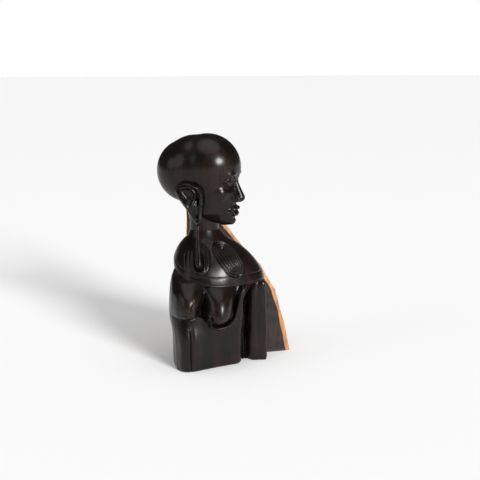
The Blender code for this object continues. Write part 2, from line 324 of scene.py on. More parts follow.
def waxed_sapwood():
    """Sapwood: honey to orange brown, streaked up the log, with cloudy darker stains."""
    material, nodes, links = new_material("waxed_sapwood")
    shader = nodes["Principled BSDF"]
    place = nodes.new("ShaderNodeTexCoord").outputs["Object"]
    along_log = stretched(nodes, links, place, (1.0, 1.0, 0.10))
    streaks = noise(nodes, links, along_log, 210.0, 6.0, 0.65, 0.6)
    clouds = noise(nodes, links, place, 38.0, 4.0, 0.55, 0.5)
    pores = noise(nodes, links, stretched(nodes, links, place, (1.0, 1.0, 0.04)), 1300.0, 2.0)
    colour = ramp(nodes, links, streaks, (
        (0.28, (0.250, 0.090, 0.022)),
        (0.50, (0.480, 0.200, 0.055)),
        (0.72, (0.640, 0.330, 0.115)),
    ))
    stain = ramp(nodes, links, clouds, (
        (0.38, (0.52, 0.42, 0.36)),
        (0.58, (1.0, 1.0, 1.0)),
    ))
    colour = mixed(nodes, links, 1.0, colour, stain, "MULTIPLY")
    links.new(colour, shader.inputs["Base Color"])
    gloss = spread(nodes, links, clouds, 0.3, 0.7, 0.34, 0.52)
    links.new(gloss, shader.inputs["Roughness"])
    shader.inputs["Specular IOR Level"].default_value = 0.45
    streaky = bumped(nodes, links, streaks, 0.22, 0.0005)
    links.new(bumped(nodes, links, pores, 0.2, 0.0001, streaky), shader.inputs["Normal"])
    return material


sapwood_skin.data.materials.append(waxed_sapwood())
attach(sapwood_skin, "root")
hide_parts("sapwood_back")

# ---------------------------------------------------------------------------------------
# The collar. It is a wide stiff disc collar, drawn down over the shoulders, with a line cut
# along its edge. Nested ovals of cut lines mark each side, and the right ear drop lies in a
# channel with a raised lip.
# ---------------------------------------------------------------------------------------
neck_x, neck_y = 0.0, 13.0
neck_radius = 16.0
_, collar_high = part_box("collar")
collar_top = collar_high.z / mm
collar_directions = np.array([
    -180.0, -135.0, -90.0, -60.0, -35.0, -16.0, 3.0, 28.0,
    48.0, 62.0, 76.0, 90.0, 120.0, 150.0, 180.0,
])
collar_reach = np.array([
    30.0, 33.0, 34.5, 39.5, 44.5, 45.5, 46.0, 48.5,
    55.5, 63.5, 66.5, 64.5, 56.0, 40.0, 30.0,
])
collar_edge_z = np.array([
    122.0, 121.0, 111.0, 103.0, 98.0, 93.5, 91.0, 90.5,
    91.0, 90.5, 90.5, 94.5, 104.0, 116.0, 122.0,
])


def round_table(directions, angles, values):
    """A smooth curve through values given round the neck."""
    where = np.arange(-360, 720, 1.0)
    turns = np.concatenate([angles - 360, angles[1:], angles[1:] + 360])
    rough = np.interp(where, turns, np.concatenate([values, values[1:], values[1:]]))
    window = np.hanning(25)
    soft = np.convolve(rough, window / window.sum(), mode="same")
    return np.interp(directions, where, soft)


turn_count = 560
shares_out = np.concatenate([np.linspace(0.0, 0.95, 148), np.linspace(0.956, 1.0, 14)])
around = np.linspace(-180.0, 180.0, turn_count, endpoint=False)
reach = round_table(around, collar_directions, collar_reach)
edge_z = round_table(around, collar_directions, collar_edge_z)
heading = np.radians(around)


def collar_fall(share):
    """How far down the dome goes from neck to edge: 0 at the neck, 1 at the edge."""
    fall = 0.4 * share + 0.6 * (1 - math.sqrt(1 - (0.985 * share) ** 2))
    return fall / (0.4 + 0.6 * (1 - math.sqrt(1 - 0.985 ** 2)))


def collar_row(share, drop):
    radius = neck_radius + (reach - neck_radius) * share
    fall = collar_fall(share)
    fillet = 6.5 * max(0.0, 1 - share / 0.24) ** 2 if drop == 0 else 0.0
    z = collar_top - (collar_top - edge_z) * fall - drop + fillet
    return np.stack([neck_x + radius * np.sin(heading), neck_y - radius * np.cos(heading), z], axis=-1)


collar_rings = [collar_row(share, 0.0) for share in shares_out]
underside = (
    (0.999, 0.8), (0.996, 1.6), (0.985, 2.6), (0.96, 3.4),
    (0.8, 6.0), (0.6, 8.0), (0.35, 10.5), (0.0, 13.0),
)
for share, drop in underside:
    collar_rings.append(collar_row(share, drop))
collar = skin("disc_collar", collar_rings, closed=False)
only(collar)
bpy.ops.object.mode_set(mode="EDIT")
bpy.ops.mesh.select_all(action="DESELECT")
bpy.ops.mesh.select_non_manifold()
bpy.ops.mesh.bridge_edge_loops()
bpy.ops.mesh.select_all(action="SELECT")
bpy.ops.mesh.normals_make_consistent(inside=False)
bpy.ops.object.mode_set(mode="OBJECT")

# Its back is cut off flat against the slab.
points = get_points(collar)
points[:, 1] = np.minimum(points[:, 1], slab_front_low + slab_front_lean * points[:, 2] + 0.8)
set_points(collar, points)


def smooth_step(value, low, high):
    share = np.clip((value - low) / (high - low), 0, 1)
    return share * share * (3 - 2 * share)


def evened(place, places, values, soft=2.0):
    """A table read off as a smooth curve."""
    total = 0.0
    for step, weight in ((-1.5, 1), (-1.0, 2), (-0.5, 3), (0.0, 4), (0.5, 3), (1.0, 2), (1.5, 1)):
        total = total + weight * np.interp(place + step * soft, places, values)
    return total / 16


def near_path(points, path):
    """Each point's distance from a path, and how far along the path it is nearest."""
    path = np.asarray(path, float)
    best = np.full(len(points), 1e9)
    share = np.zeros(len(points))
    for i, (start, end) in enumerate(zip(path, path[1:])):
        run = end - start
        along = np.clip(((points - start) @ run) / (run @ run), 0, 1)
        gap = np.linalg.norm(points - start - along[:, None] * run, axis=1)
        closer = gap < best
        best = np.where(closer, gap, best)
        share = np.where(closer, (i + along) / (len(path) - 1), share)
    return best, share


drop_top = np.array([-12.4, -9.5, 154.6])
drop_end = np.array([-15.3, -27.8, 111.2])


def on_top(piece):
    return get_normals(piece)[:, 2] > 0.02


def cut_ovals(piece, high, low, pitch, count, deep, clear):
    """Cuts nested rings of lines round a middle line from a high place to a low one."""
    points = get_points(piece)
    normals = get_normals(piece)
    high, low = np.asarray(high, float), np.asarray(low, float)
    middle = (high + low) / 2
    from_middle = np.linalg.norm(points - middle, axis=1) + 1e3 * ~on_top(piece)
    out = normals[np.argmin(from_middle)]
    middle = points[np.argmin(from_middle)]
    along = low - high
    along -= out * (along @ out)
    length = np.linalg.norm(along)
    along /= length
    across = np.cross(out, along)
    local = points - middle
    u, v = local @ along, local @ across
    outer = pitch * count
    core = length / 2 - outer
    beyond = np.maximum(np.abs(u) - core, 0)
    barrel = 0.72 + 0.40 * (1 - (2 * u / length) ** 2)
    ring = np.hypot(beyond, v / np.maximum(barrel, 0.3)) / pitch
    groove = np.clip(1 - (np.abs(ring % 1.0 - 0.62) / 0.33) ** 2, 0, 1) ** 1.2
    inside = smooth_step(count - ring, 0.0, 0.1) * smooth_step(ring, 0.12, 0.3)
    near = (local @ out > -16) & on_top(piece) & clear
    set_points(piece, points - normals * (deep * groove * inside * near)[:, None])
    return groove * inside * near


# The channel for the drop, and the raised lip round it.
points = get_points(collar)
normals = get_normals(collar)
channel = [
    drop_top + (0.9, 2.0, -2.0),
    drop_top * 0.6 + drop_end * 0.4 + (0.4, 1.8, -1.2),
    drop_end + (0.2, 1.2, 1.4),
]
gap, share = near_path(points, channel)
bed = 3.4 + 2.2 * smooth_step(share, 0.0, 1.0)
dish = 3.4 * np.clip(1 - (gap / bed) ** 2, 0, 1) ** 0.5
lip = -1.1 * np.exp(-((gap - bed - 1.0) / 0.85) ** 2)
set_points(collar, points - normals * ((dish + lip) * on_top(collar))[:, None])
clear = gap > bed + 1.9

# The nested ovals on each shoulder. The right ones run out at the lip of the channel.
points = get_points(collar)
lift = 2.2 * np.exp(-(((points - (20.0, -19.5, 114.0)) / (15.0, 13.0, 18.0)) ** 2).sum(axis=1))
set_points(collar, points + get_normals(collar) * (lift * on_top(collar))[:, None])
cut_shade = cut_ovals(collar, (7.0, -8.6, 135.6), (28.6, -26.2, 98.0), 3.0, 4, 0.95, clear)
cut_shade = np.maximum(cut_shade, cut_ovals(collar, (-12.5, -5.0, 134.8), (-17.0, -27.6, 100.8), 3.0, 4, 0.8, clear))
# Painted shade: the floor of the drop's channel is marked too, so its colour is darkened.
cut_shade = np.where(clear, cut_shade, 0.75 * (gap < bed) * on_top(collar))

# The line along the edge.
for inset, deep in ((0.93, 0.55), (0.995, 0.2)):
    edge_line = collar_row(inset, 0.0)[(around > -112) & (around < 80)][::3]
    points = get_points(collar)
    gap, share = near_path(points, edge_line)
    line = deep * np.clip(1 - (gap / 0.85) ** 2, 0, 1) * on_top(collar)
    set_points(collar, points - get_normals(collar) * line[:, None])
    cut_shade = np.maximum(cut_shade, line)
# Painted shade: this mask darkens the colour in the cut lines, the edge lines and the channel floor.
collar.data.attributes.new("painted_cut_shade", "FLOAT", "POINT").data.foreach_set("value", cut_shade)
smooth_shade(collar, 65)
collar.data.materials.append(polished_blackwood)
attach(collar, "root")
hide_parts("collar")

# ---------------------------------------------------------------------------------------
# The torso. The bare chest lies in a hollow under the collar, and the edge of that hollow
# is left as a rounded rim round the breasts. The belly below it is a plain smooth block,
# and the floor of the groove beside the left arm is fluted where the gouge ran out.
# ---------------------------------------------------------------------------------------
front_heights = np.array([0.0, 2.0, 25.0, 40.0, 55.0, 70.0, 84.0, 92.0, 100.0, 108.0, 116.0])
front_further = np.array([-0.8, 0.0, 1.6, 2.6, 3.0, 2.0, 0.8, -2.2, -6.0, -10.5, -15.0])
low_front_x = np.array([-41.0, -40.4, -39.1, -35.6, -29.5, -22.5, -15.0, -4.4, 4.2, 12.8, 20.0, 40.0])
low_front_y = np.array([-18.0, -22.5, -30.0, -34.8, -36.5, -35.9, -33.8, -30.9, -28.7, -27.0, -25.4, -21.0])
right_side_heights = np.array([0.0, 2.0, 20.0, 40.0, 50.0, 58.0, 66.0, 84.0, 94.0, 103.0, 110.0, 116.0])
right_side_x = np.array([-39.4, -40.4, -40.6, -41.4, -43.4, -44.2, -44.4, -43.8, -42.2, -39.6, -35.0, -29.0])
crease_heights = np.array([0.0, 44.0, 47.0, 51.0, 56.0, 62.0, 84.0, 92.0, 100.0, 108.0, 116.0])
crease_x = np.array([-26.8, -27.2, -28.5, -33.0, -37.0, -38.5, -38.0, -34.0, -31.0, -28.0, -24.0])
left_wall_heights = np.array([0.0, 2.0, 30.0, 58.0, 68.0, 74.0, 79.0, 83.0, 86.5, 89.0, 92.5, 100.0, 116.0])
left_wall_x = np.array([33.2, 34.4, 34.8, 33.4, 32.2, 32.4, 33.8, 36.4, 41.0, 46.5, 50.0, 50.0, 44.0])
corner_wide = np.array([11.0, 11.5, 11.5, 8.0, 4.5, 3.6, 3.2, 3.2, 3.2, 3.2, 3.2, 3.2, 3.2])
crease_deep = 1.7


def evenly(curve, count):
    """The same curve with its points at equal distances."""
    steps = np.linalg.norm(np.diff(curve, axis=0), axis=1)
    walked = np.concatenate([[0.0], np.cumsum(steps)])
    places = np.linspace(0.0, walked[-1], count)
    return np.stack([np.interp(places, walked, curve[:, i]) for i in range(curve.shape[1])], axis=-1)


def rounded_front(x, height):
    """The front of belly and right arm: turned to the right below, straight above."""
    side = evened(height, right_side_heights, right_side_x, 3.0)
    below = evened(x - (side + 40.8) * smooth_step(-x, 0.0, 40.0), low_front_x, low_front_y)
    run = np.clip((side + 15.0 - x) / 15.0, 0, 1)
    above = -32.5 + 0.0034 * (x - 2.0) ** 2 + 15.0 * (1 - np.sqrt(1 - run ** 2))
    above = above + 0.03 * np.clip(x - 30.0, 0, None) ** 2
    share = smooth_step(height, 30.0, 66.0)
    return below * (1 - share) + above * share - evened(height, front_heights, front_further, 3.0)


def soft_max(first, second, blend):
    gap = np.clip(blend - np.abs(first - second), 0, None) / blend
    return np.maximum(first, second) + gap ** 2 * blend / 4


def breast(x, z, top, tip, side, below, low, rise):
    """A breast that hangs from under the collar and stands out most at its tip."""
    run = np.array(tip) - np.array(top)
    share = ((x - top[0]) * run[0] + (z - top[1]) * run[1]) / (run @ run)
    beyond = share > 1
    share = np.clip(share, 0, 1)
    across = x - (top[0] + run[0] * share)
    down = z - (top[1] + run[1] * share)
    gap = np.hypot(across / side, down / np.where(beyond, below, side))
    height = low + (rise - low) * np.sin(share * math.pi / 2) ** 1.15
    return height * np.clip(1 - gap ** 2, 0, 1) ** 0.68


def knob(x, z, middle, wide, high):
    gap = ((x - middle[0]) ** 2 + (z - middle[1]) ** 2) / wide ** 2
    return high * np.exp(-gap ** 1.5)


def under_collar(x, y, height):
    """Draws any place that would come out through the collar in to just under it."""
    turn = np.degrees(np.arctan2(x - neck_x, neck_y - y))
    edge_here = np.interp(turn, around, edge_z)
    reach_here = np.interp(turn, around, reach)
    shares = np.linspace(0.0, 1.0, 60)
    falls = np.array([collar_fall(share) for share in shares])
    fall = np.clip((collar_top - height) / (collar_top - edge_here), 0, 1)
    share = np.interp(fall, falls, shares)
    above = neck_radius + (reach_here - neck_radius) * share - 1.1
    limit = np.where(height > edge_here, above, reach_here - 0.6 + 2.0 * (edge_here - height))
    radius = np.hypot(x - neck_x, neck_y - y)
    kept = -soft_max(-radius, -limit, 1.5) / np.maximum(radius, 1.0)
    return neck_x + (x - neck_x) * kept, neck_y + (y - neck_y) * kept


def line_gap(x, z, line):
    """Signed distance above a line given by its points from right to left."""
    line = np.asarray(line, float)
    level = evened(x, line[:, 0], line[:, 1], 1.6)
    slope = evened(x + 0.5, line[:, 0], line[:, 1], 1.6) - evened(x - 0.5, line[:, 0], line[:, 1], 1.6)
    return (z - level) / np.hypot(1.0, slope)


left_rim = [
    (-60.0, 150.0), (-15.0, 84.0), (-9.0, 59.5), (-6.0, 52.0), (-2.0, 48.2), (4.0, 46.6), (11.0, 47.6),
    (16.5, 51.0), (21.0, 57.0), (23.6, 65.0), (25.4, 75.0), (28.4, 83.0), (33.0, 92.0), (38.0, 120.0),
]
right_rim = [
    (-60.0, 57.5), (-44.0, 57.0), (-30.0, 56.0), (-20.0, 56.5),
    (-12.0, 58.0), (-6.0, 66.0), (0.0, 90.0), (40.0, 200.0),
]
belly_brow = [(-60.0, 40.0), (-28.5, 46.5), (-12.6, 58.0), (-7.0, 54.0), (40.0, -20.0)]


def torso_relief(x, z):
    """How far each place on the front stands out from, or lies behind, the flat front."""
    above_left = line_gap(x, z, left_rim)
    above_right = line_gap(x, z, right_rim)
    inside = soft_max(above_left, above_right, 2.5)
    deep = (7.0 - 3.5 * smooth_step(z, 64.0, 88.0)) * (0.4 + 0.6 * smooth_step(x, -26.0, -8.0))
    hollow = smooth_step(inside, 0.0, 2.6 + 7.0 * smooth_step(-x, 10.0, 26.0)) * deep
    left_breast = breast(x, z, (8.5, 94.0), (3.4, 62.5), 17.5, 14.0, 3.5, 23.5)
    right_breast = breast(x, z, (-25.5, 96.0), (-31.5, 70.0), 18.0, 13.0, 2.5, 16.5)
    left_breast += knob(x, z, (0.8, 54.5), 2.4, 2.2)
    right_breast += knob(x, z, (-32.5, 62.0), 2.4, 1.6)
    chest = soft_max(left_breast, right_breast, 5.0) - hollow
    rim = 3.0 * np.exp(-((above_left + 1.3) / 1.7) ** 2) * smooth_step(x, -9.0, -5.0)
    under_brow = smooth_step(-line_gap(x, z, belly_brow), 0.0, 1.3) * smooth_step(z, 16.0, 50.0)
    brow_hollow = 2.6 * under_brow * smooth_step(-x, 0.0, 14.0) * smooth_step(x, -27.0, -22.0)
    return chest + rim - brow_hollow


def flute(x, height):
    """The floor of the groove by the left arm: deep above, shallow and fluted at the base."""
    ridges = 1.4 * np.cos((x - 37.6) * math.tau / 3.3) * smooth_step(46.0 - height, 0.0, 26.0)
    floor = np.interp(height, [0.0, 12.0, 34.0, 60.0, 92.0], [-9.8, -9.2, -5.5, -1.5, 6.0])
    return floor - ridges


torso_rows = np.concatenate([[0.0, 0.35, 0.9, 1.6], np.linspace(2.4, 113.0, 256)])
torso_rings, right_arm_rings = [], []
for height in torso_rows:
    foot = 1.3 * (1 - smooth_step(height, 0.0, 2.0))
    crease = evened(height, crease_heights, crease_x, 1.5)
    wall = evened(height, left_wall_heights, left_wall_x, 1.6)
    wide = evened(height, left_wall_heights, corner_wide, 3.0)
    x = np.linspace(crease, wall - wide, 420)
    relief = torso_relief(x, height)
    y = rounded_front(x, height) - relief + foot
    lower = smooth_step(47.0 - height, 0.0, 4.0)
    y += crease_deep * lower * np.exp(-(x - crease) / 1.0)
    turn = np.linspace(0.0, math.pi / 2, 26)[1:]
    corner_x = wall - wide + wide * np.sin(turn)
    corner_y = y[-1] + wide * 1.05 * (1 - np.cos(turn))
    floor_x = np.linspace(wall, max(45.0, wall + 0.6), 40)
    floor_y = flute(floor_x, height)
    wall_y = np.linspace(corner_y[-1], floor_y[0], 30)[1:-1]
    back = slab_front_low + slab_front_lean * height + 0.6
    floor_y = np.minimum(floor_y, back - 0.3)
    front_curve = np.concatenate([
        np.column_stack([x, y]),
        np.column_stack([corner_x, corner_y]),
        np.column_stack([np.full_like(wall_y, wall), wall_y]),
        np.column_stack([floor_x, floor_y]),
    ])
    front_curve = evenly(front_curve, 340)
    front_curve = np.column_stack(under_collar(front_curve[:, 0], front_curve[:, 1], height))
    ends = np.array([[floor_x[-1], back], [(crease + floor_x[-1]) / 2, back], [crease, back]])
    ring = np.concatenate([front_curve, ends])
    torso_rings.append(np.column_stack([ring, np.full(len(ring), height)]))
    if height <= 111.0:
        side = evened(height, right_side_heights, right_side_x, 3.0)
        arm_x = side + (crease + 0.4 - side) * (1 - np.cos(np.linspace(0.0, math.pi / 2, 120)))
        arm_y = rounded_front(arm_x, height) - torso_relief(arm_x, height) + foot
        arm_y += crease_deep * lower * np.exp(-(crease - arm_x) / 0.9)
        arm_y += 0.35 * smooth_step(arm_x, crease - 0.3, crease + 0.4)
        arm_y = np.minimum(arm_y, 20.0)
        back_y = np.linspace(27.0 - 8.0 * smooth_step(height, 60.0, 110.0), arm_y[0] + 0.5, 60)
        recede = 12.0 * (np.clip(back_y + 14.0, 0, None) / 41.0) ** 2
        arm_curve = evenly(np.concatenate([
            np.column_stack([side + foot * 0.8 + recede, back_y]),
            np.column_stack([arm_x + foot * 0.4, arm_y]),
        ]), 150)
        arm_curve = np.column_stack(under_collar(arm_curve[:, 0], arm_curve[:, 1], height))
        arm_ring = np.concatenate([arm_curve, [[crease + 0.5, 0.0], [crease + 0.5, back_y[0]]]])
        right_arm_rings.append(np.column_stack([arm_ring, np.full(len(arm_ring), height)]))
torso = skin("torso_carving", torso_rings)


def gouge(piece, path, wide, deep, taper=0.0):
    """Cuts a groove of that width and depth along a path, or with deep below 0, a ridge."""
    points = get_points(piece)
    gap, share = near_path(points, path)
    cut = deep * np.clip(1 - (gap / wide) ** 2, 0, 1) ** 1.5
    if taper:
        cut *= smooth_step(share, 0.0, taper) * smooth_step(1 - share, 0.0, taper)
    set_points(piece, points - get_normals(piece) * cut[:, None])


def laid_on(piece, xz_path):
    """A path given by x and z, laid on the piece's front."""
    points = get_points(piece)
    laid = []
    for x, z in xz_path:
        near = (np.abs(points[:, 0] - x) < 1.2) & (np.abs(points[:, 2] - z) < 1.2)
        laid.append((x, points[near, 1].min(), z))
    return laid


crack = [
    (-19.5, 92.0), (-21.0, 88.5), (-21.6, 85.5), (-23.8, 82.0),
    (-24.6, 78.5), (-27.2, 74.5), (-28.6, 70.5), (-31.0, 67.0),
]
gouge(torso, laid_on(torso, crack), 0.8, 1.5, 0.15)
smooth_shade(torso, 75)
torso.data.materials.append(polished_blackwood)
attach(torso, "root")
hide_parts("torso")

# ---------------------------------------------------------------------------------------
# The arms. Each is a plain column left at the side of the belly, from under the collar to
# the base. A deep groove divides the left one off, and only a crease the right one.
# ---------------------------------------------------------------------------------------
right_arm = skin("right_arm_carving", right_arm_rings)
left_arm_heights = np.array([0.0, 2.0, 30.0, 60.0, 80.0, 88.0, 95.0, 101.0, 108.0])
left_arm_inner = np.array([43.2, 42.2, 41.8, 41.6, 42.2, 44.0, 46.0, 47.0, 48.0])
left_arm_outer = np.array([62.2, 63.2, 62.8, 61.8, 61.4, 61.2, 60.8, 59.0, 56.0])
left_arm_front = np.array([-18.6, -19.4, -19.8, -19.4, -18.6, -17.8, -14.0, -7.0, 2.0])
left_arm_rings = []
for height in torso_rows[torso_rows <= 108.0]:
    inner = evened(height, left_arm_heights, left_arm_inner)
    outer = evened(height, left_arm_heights, left_arm_outer)
    front = evened(height, left_arm_heights, left_arm_front)
    turn = np.linspace(0.0, math.pi / 2, 40)
    inner_x = inner + 8.0 * (1 - np.cos(turn))
    inner_y = front + 1.5 + 8.5 * (1 - np.sin(turn))
    outer_x = outer - 2.4 + 2.4 * np.sin(turn)
    outer_y = front + 2.2 * (1 - np.cos(turn))
    front_x = np.linspace(inner_x[-1], outer_x[0], 30)[1:-1]
    front_y = front + 1.5 * (1 - smooth_step(front_x, inner + 8.0, outer - 3.0))
    front_curve = np.concatenate([
        [[inner, 17.0]],
        np.column_stack([inner_x, inner_y]),
        np.column_stack([front_x, front_y]),
        np.column_stack([outer_x, outer_y]),
        [[outer - 0.8, 17.0]],
    ])
    front_curve = evenly(front_curve, 190)
    front_curve = np.column_stack(under_collar(front_curve[:, 0], front_curve[:, 1], height))
    ring = np.concatenate([front_curve, [[(inner + outer) / 2, 17.5]]])
    left_arm_rings.append(np.column_stack([ring, np.full(len(ring), height)]))
left_arm = skin("left_arm_carving", left_arm_rings)
for arm, node in ((right_arm, "right_arm"), (left_arm, "left_arm")):
    points = get_points(arm)
    worked = smooth_step(points[:, 2], 0.3, 4.0) * 0.22 * ripple(points, 30.0, 12)
    set_points(arm, points + get_normals(arm) * worked[:, None])
    smooth_shade(arm, 75)
    arm.data.materials.append(polished_blackwood)
    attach(arm, "root")
    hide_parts(node)

# ---------------------------------------------------------------------------------------
# The neck. It rises from the collar as a round column, and the long muscle that stands
# out when the head turns is left as a soft ridge on its right side.
# ---------------------------------------------------------------------------------------
neck_levels = np.array([130.0, 142.0, 150.0, 156.0, 161.0, 166.0, 172.0])
neck_radii = np.array([16.2, 16.3, 16.0, 16.0, 16.8, 18.4, 21.0])
neck_rings = []
for height in np.linspace(130.0, 172.0, 84):
    radius = np.interp(height, neck_levels, neck_radii)
    turn = np.linspace(0, math.tau, 190, endpoint=False)
    across, along = neck_x + radius * np.cos(turn), neck_y + radius * np.sin(turn)
    ring = np.stack([across, along, np.full_like(turn, height)], axis=-1)
    ring[:, 1] = np.minimum(ring[:, 1], slab_front_low + slab_front_lean * height + 1.0)
    neck_rings.append(ring)
neck = skin("neck_carving", neck_rings)
gouge(neck, [(-13.5, 3.0, 172.0), (-9.5, -0.5, 160.0), (-6.0, -1.5, 150.0)], 5.5, -1.2, 0.45)
gouge(neck, [(14.0, 3.0, 172.0), (10.0, -0.5, 160.0), (6.0, -1.5, 150.0)], 5.0, -0.9, 0.45)
only(neck)
soft = neck.modifiers.new("soften", "SMOOTH")
soft.iterations = 12
bpy.ops.object.modifier_apply(modifier=soft.name)
smooth_shade(neck, 60)
neck.data.materials.append(polished_blackwood)
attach(neck, "root")
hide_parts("neck")

# ---------------------------------------------------------------------------------------
# The head. The shaved skull is long from brow to back and is turned well over the left
# shoulder. The face is cut in the same wood: calm, with full lips and almond eyes.
# ---------------------------------------------------------------------------------------
_, head_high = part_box("head")
head_turn = math.radians(60)
head_forward = np.array([math.sin(head_turn), -math.cos(head_turn), 0.0])
head_left = np.array([math.cos(head_turn), math.sin(head_turn), 0.0])
head_up = np.array([0.0, 0.0, 1.0])
head_middle = np.array([-4.0, 14.0, head_high.z / mm - 50.0])
head_axes = np.stack([head_forward, head_left, head_up])


def from_head(forward, left, up):
    return head_middle + np.array([forward, left, up]) @ head_axes


def ball(place, radii, tilt=0.0, segments=48):
    """A lump of the rough form, in the head's own directions, tilted nose up by tilt."""
    deselect()
    bpy.ops.mesh.primitive_uv_sphere_add(segments=segments, ring_count=segments // 2, radius=1.0)
    lump = bpy.context.object
    turned = Matrix(head_axes.tolist()).transposed() @ Matrix.Rotation(math.radians(-tilt), 3, "Y")
    scaled = turned.to_4x4() @ Matrix.Diagonal((*(r * mm for r in radii), 1.0))
    lump.data.transform(Matrix.Translation(Vector(from_head(*place)) * mm) @ scaled)
    return lump


def gather(name, lumps):
    deselect()
    for lump in lumps:
        lump.select_set(True)
    bpy.context.view_layer.objects.active = lumps[0]
    bpy.ops.object.join()
    lumps[0].name = name
    lumps[0].data.name = name
    return lumps[0]


head_lumps = [
    ball((8.5, 0.0, 14.0), (36.5, 33.0, 36.0)),
    ball((-4.0, 0.0, 12.5), (38.0, 32.5, 36.0)),
    ball((-13.5, 0.0, 9.5), (34.5, 30.5, 34.5)),
    ball((14.0, 0.0, -14.0), (27.0, 25.5, 33.0)),
    ball((27.0, 0.0, -38.0), (12.5, 12.5, 11.0)),
    ball((34.5, 0.0, -43.0), (6.0, 7.5, 5.5)),
    ball((32.0, 0.0, -30.0), (9.0, 13.0, 9.5)),
]
for side in (-1, 1):
    head_lumps.append(ball((24.0, side * 14.5, -12.0), (12.5, 10.0, 13.0)))
    head_lumps.append(ball((35.4, side * 11.0, 7.5), (8.0, 11.0, 5.5)))
    head_lumps.append(ball((10.0, side * 19.5, -27.0), (13.0, 5.5, 10.0), tilt=-18))


def soften(piece, voxel, rounds):
    """Makes one skin of the joined lumps and smooths it."""
    only(piece)
    remesh = piece.modifiers.new("one_skin", "REMESH")
    remesh.mode = "VOXEL"
    remesh.voxel_size = voxel * mm
    bpy.ops.object.modifier_apply(modifier=remesh.name)
    smooth = piece.modifiers.new("soften", "SMOOTH")
    smooth.factor = 0.5
    smooth.iterations = rounds
    bpy.ops.object.modifier_apply(modifier=smooth.name)


head = gather("head_carving", head_lumps)
soften(head, 1.3, 26)


def in_head(points):
    return (points - head_middle) @ head_axes.T


def press(piece, place, radii, amount, direction=(1.0, 0.0, 0.0)):
    """Moves the surface round a place along a direction, most at the middle."""
    points = get_points(piece)
    local = in_head(points) - np.asarray(place)
    weight = np.exp(-((local / np.asarray(radii)) ** 2).sum(axis=1))
    way = np.asarray(direction, float) @ head_axes
    set_points(piece, points + weight[:, None] * way * amount)


for side in (-1, 1):
    press(head, (40.0, side * 12.5, -1.0), (12.0, 7.5, 5.8), -4.6)
    press(head, (36.0, side * 25.0, 4.0), (12.0, 6.0, 9.0), -1.4, (0.4, side, 0.0))
    press(head, (34.0, side * 17.0, -24.0), (12.0, 7.0, 8.0), -1.6)
face_lumps = [head]
nose_steps = 9
for i in range(nose_steps):
    share = i / (nose_steps - 1)
    bridge = (38.0 + 7.0 * share ** 1.25, 0.0, 2.0 - 19.0 * share)
    face_lumps.append(ball(bridge, (3.6 + 1.4 * share, 3.1 + 1.8 * share, 4.0), segments=24))
face_lumps.append(ball((45.2, 0.0, -18.0), (4.8, 5.0, 4.4), segments=32))
face_lumps.append(ball((42.0, 0.0, -21.0), (5.0, 3.0, 2.6), segments=24))
for side in (-1, 1):
    face_lumps.append(ball((41.6, side * 5.3, -18.8), (4.9, 3.7, 3.7), segments=32))
    face_lumps.append(ball((33.2, side * 12.7, -1.2), (6.1, 7.1, 5.4), segments=40))
    face_lumps.append(ball((39.6, side * 3.4, -29.6), (3.9, 5.4, 2.7), segments=32))
    face_lumps.append(ball((37.4, side * 8.2, -31.2), (3.2, 3.8, 1.9), segments=24))
face_lumps.append(ball((39.0, 0.0, -35.2), (4.2, 8.2, 3.3), segments=40))
head = gather("head_carving", face_lumps)
soften(head, 0.62, 9)


def face_stroke(path, wide, deep, taper=0.0):
    """A cut (or with deep below 0 a ridge) along a path drawn on the face from in front."""
    points = get_points(head)
    local = in_head(points)
    flat = np.column_stack([np.zeros(len(local)), local[:, 1:]])
    gap, share = near_path(flat, [(0.0, left, up) for left, up in path])
    cut = deep * np.clip(1 - (gap / wide) ** 2, 0, 1) ** 1.5
    if taper:
        cut *= smooth_step(share, 0.0, taper) * smooth_step(1 - share, 0.0, taper)
    cut *= smooth_step(local[:, 0], 22.0, 30.0)
    set_points(head, points - get_normals(head) * cut[:, None])


def bow(start, end, rise, count=22):
    """A shallow arc from start to end that bows up by rise."""
    share = np.linspace(0, 1, count)
    left = start[0] + (end[0] - start[0]) * share
    up = start[1] + (end[1] - start[1]) * share + rise * np.sin(math.pi * share) ** 0.9
    return list(zip(left, up))


for side in (-1, 1):
    inner, outer = (side * 6.8, -2.4), (side * 19.0, -1.0)
    face_stroke(bow(inner, outer, 3.6), 1.7, -1.0)
    face_stroke(bow(inner, outer, -2.6), 1.4, -0.6)
    face_stroke(bow(inner, outer, 2.5), 0.75, 0.75)
    face_stroke(bow(inner, outer, -1.7), 0.7, 0.55)
    face_stroke(bow((side * 6.5, 1.0), (side * 19.5, 1.2), 4.6), 1.1, 0.8, taper=0.2)
    face_stroke(bow((side * 4.5, 5.0), (side * 21.5, 4.0), 3.6), 2.2, -0.5, taper=0.4)
    face_stroke([(side * 7.9, -16.0), (side * 8.9, -19.0), (side * 8.2, -22.2)], 1.2, 0.7, taper=0.3)
    face_stroke([(side * 8.8, -20.5), (side * 12.6, -27.5)], 2.2, 0.35, taper=0.35)
    press(head, (43.6, side * 3.3, -21.9), (2.6, 1.5, 1.2), 2.0, (0.0, 0.0, 1.0))
half_mouth = [(10.8, -32.4), (7.5, -32.1), (4.0, -31.7), (1.5, -32.0)]
mouth = [(-left, up) for left, up in half_mouth] + [(0.0, -32.5)] + half_mouth[::-1]
face_stroke(mouth, 1.0, 1.1)
face_stroke([(0.0, -22.5), (0.0, -27.0)], 1.5, 0.6, taper=0.3)
face_stroke([(-6.5, -39.6), (0.0, -40.4), (6.5, -39.6)], 2.6, 0.8, taper=0.3)
smooth_shade(head, 80)
head.data.materials.append(polished_blackwood)
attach(head, "root")
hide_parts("head")

